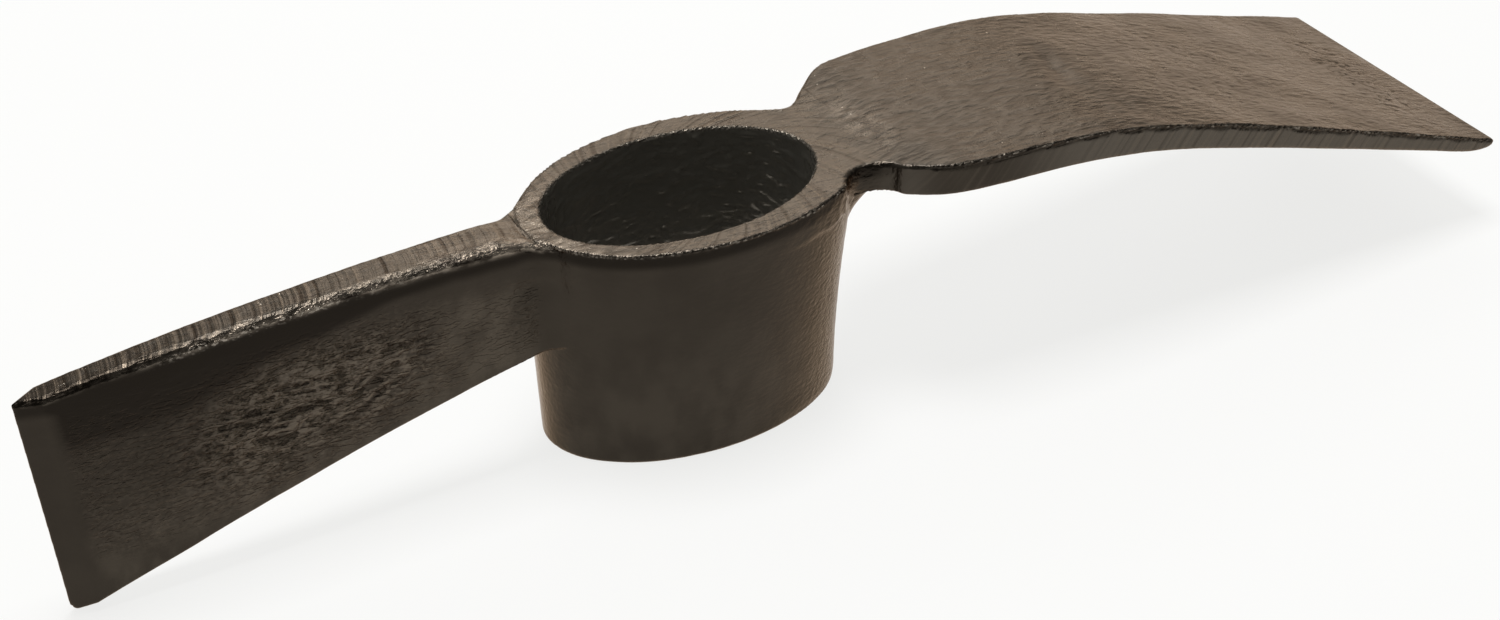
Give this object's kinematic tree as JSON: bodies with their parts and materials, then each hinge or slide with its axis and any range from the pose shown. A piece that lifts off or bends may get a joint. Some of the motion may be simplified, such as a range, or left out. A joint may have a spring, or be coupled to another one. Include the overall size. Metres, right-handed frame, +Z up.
{
  "type": "mattock head",
  "caption": "Forged steel mattock head with an open oval handle eye, an upright cutter blade and a wide curved adze blade, black lacquered.",
  "frame": {"origin": "on the eye's axis, in the plane of the collar's base", "axes": "+X along the head to the adze edge, +Z up the eye from the base to the rim, Y across the head"},
  "size_m": [0.4225, 0.087, 0.0688],
  "materials": {
    "forged_lacquer": "satin",
    "root_lacquer": "satin"
  },
  "bodies": {
    "root": {"eye_collar": "forged_lacquer", "cutter_blade": "forged_lacquer", "cutter_root_weld": "root_lacquer", "adze_blade": "forged_lacquer", "adze_root_weld": "root_lacquer"}
  },
  "joints": []
}
